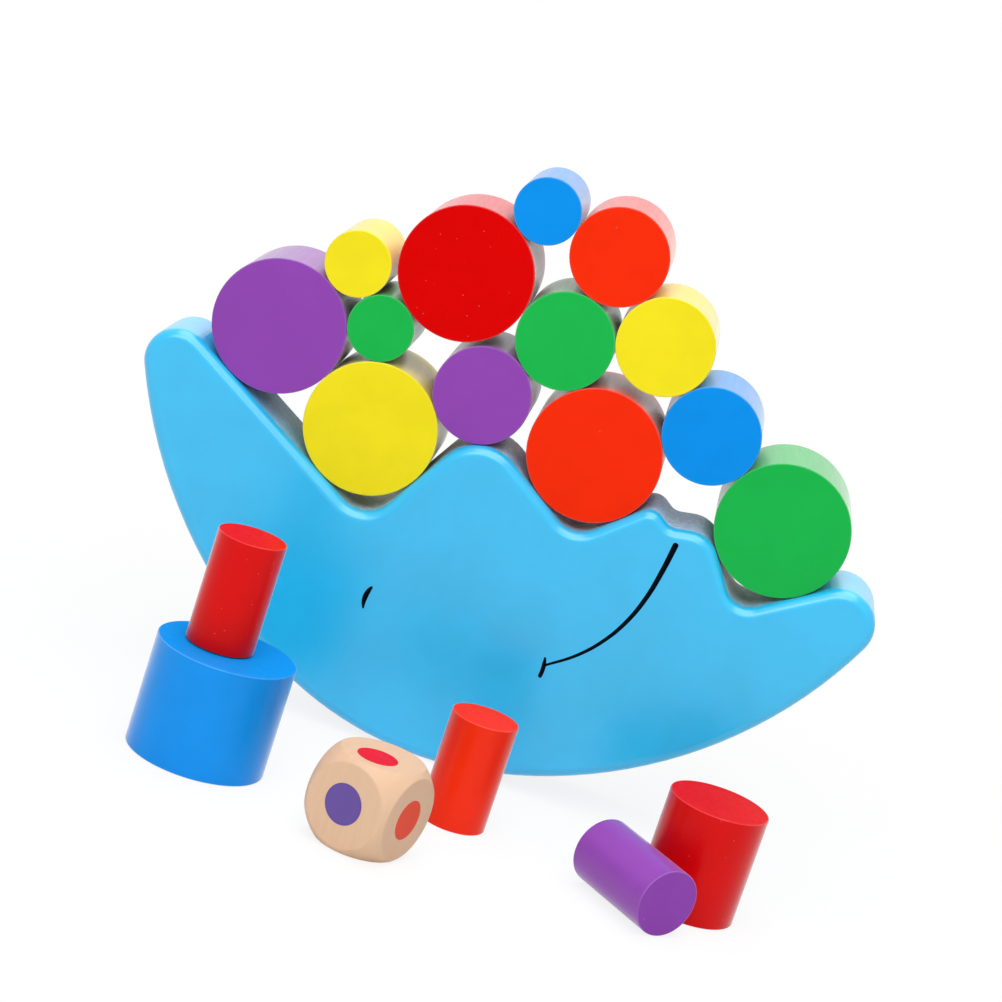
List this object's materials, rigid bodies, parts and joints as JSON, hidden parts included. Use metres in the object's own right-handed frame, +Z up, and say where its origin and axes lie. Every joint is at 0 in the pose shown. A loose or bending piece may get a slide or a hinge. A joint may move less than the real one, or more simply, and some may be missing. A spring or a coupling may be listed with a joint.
{
  "type": "moon balancing block set",
  "caption": "Wooden balancing game: a crescent moon rocker with a smiling face, painted cylinder blocks piled in its hollows, loose blocks on the table and a colour die.",
  "frame": {"origin": "middle of the set's footprint on the table", "axes": "+X along the moon's length from brow to chin, +Y away from the painted face towards the back of the pile, +Z up"},
  "size_m": [0.2878, 0.1744, 0.2228],
  "materials": {
    "sky_paint": "sky-blue satin paint on solid wood, with a thin black painted eye and smile",
    "red_paint": "red satin paint on solid wood",
    "orange_paint": "orange-red satin paint on solid wood",
    "yellow_paint": "yellow satin paint on solid wood",
    "green_paint": "green satin paint on solid wood",
    "blue_paint": "blue satin paint on solid wood",
    "purple_paint": "purple satin paint on solid wood",
    "bare_wood": "sanded bare light wood with one painted colour dot on each face"
  },
  "bodies": {
    "blue_large": {"blue_large_block": "blue_paint"},
    "moon": {"moon_rocker": "sky_paint"},
    "yellow_large": {"yellow_large_block": "yellow_paint"},
    "purple_large": {"purple_large_block": "purple_paint"},
    "orange_large": {"orange_large_block": "orange_paint"},
    "green_large": {"green_large_block": "green_paint"},
    "red_large": {"red_large_block": "red_paint"},
    "yellow_medium": {"yellow_medium_block": "yellow_paint"},
    "purple_medium": {"purple_medium_block": "purple_paint"},
    "orange_medium": {"orange_medium_block": "orange_paint"},
    "green_medium": {"green_medium_block": "green_paint"},
    "blue_medium": {"blue_medium_block": "blue_paint"},
    "yellow_small": {"yellow_small_block": "yellow_paint"},
    "green_small": {"green_small_block": "green_paint"},
    "blue_small": {"blue_small_block": "blue_paint"},
    "red_small": {"red_small_block": "red_paint"},
    "orange_small": {"orange_small_block": "orange_paint"},
    "red_medium": {"red_medium_block": "red_paint"},
    "purple_small": {"purple_small_block": "purple_paint"},
    "die": {"colour_die": "bare_wood"}
  },
  "joints": [
    {"name": "moon_rock", "type": "hinge", "parent": "blue_large", "child": "moon", "pos_m": [-0.00035, 0.06274, 0.128], "axis": [0, 1, 0], "range_deg": [-12, 12]},
    {"name": "yellow_large_push", "type": "slide", "parent": "moon", "child": "yellow_large", "axis": [0, 1, 0], "range_m": [0, 0.06]},
    {"name": "purple_large_push", "type": "slide", "parent": "moon", "child": "purple_large", "axis": [0, 1, 0], "range_m": [0, 0.06]},
    {"name": "orange_large_push", "type": "slide", "parent": "moon", "child": "orange_large", "axis": [0, 1, 0], "range_m": [0, 0.06]},
    {"name": "green_large_push", "type": "slide", "parent": "moon", "child": "green_large", "axis": [0, 1, 0], "range_m": [0, 0.06]},
    {"name": "red_large_push", "type": "slide", "parent": "moon", "child": "red_large", "axis": [0, 1, 0], "range_m": [0, 0.06]},
    {"name": "yellow_medium_push", "type": "slide", "parent": "moon", "child": "yellow_medium", "axis": [0, 1, 0], "range_m": [0, 0.06]},
    {"name": "purple_medium_push", "type": "slide", "parent": "moon", "child": "purple_medium", "axis": [0, 1, 0], "range_m": [0, 0.06]},
    {"name": "orange_medium_push", "type": "slide", "parent": "moon", "child": "orange_medium", "axis": [0, 1, 0], "range_m": [0, 0.06]},
    {"name": "green_medium_push", "type": "slide", "parent": "moon", "child": "green_medium", "axis": [0, 1, 0], "range_m": [0, 0.06]},
    {"name": "blue_medium_push", "type": "slide", "parent": "moon", "child": "blue_medium", "axis": [0, 1, 0], "range_m": [0, 0.06]},
    {"name": "yellow_small_push", "type": "slide", "parent": "moon", "child": "yellow_small", "axis": [0, 1, 0], "range_m": [0, 0.06]},
    {"name": "green_small_push", "type": "slide", "parent": "moon", "child": "green_small", "axis": [0, 1, 0], "range_m": [0, 0.06]},
    {"name": "blue_small_push", "type": "slide", "parent": "moon", "child": "blue_small", "axis": [0, 1, 0], "range_m": [0, 0.06]},
    {"name": "red_small_lift", "type": "slide", "parent": "blue_large", "child": "red_small", "axis": [0, 0, 1], "range_m": [0, 0.06]},
    {"name": "orange_small_lift", "type": "slide", "parent": "blue_large", "child": "orange_small", "axis": [0, 0, 1], "range_m": [0, 0.06]},
    {"name": "red_medium_lift", "type": "slide", "parent": "blue_large", "child": "red_medium", "axis": [0, 0, 1], "range_m": [0, 0.06]},
    {"name": "purple_small_lift", "type": "slide", "parent": "blue_large", "child": "purple_small", "axis": [0, 0, 1], "range_m": [0, 0.06]},
    {"name": "die_lift", "type": "slide", "parent": "blue_large", "child": "die", "axis": [0, 0, 1], "range_m": [0, 0.06]}
  ]
}
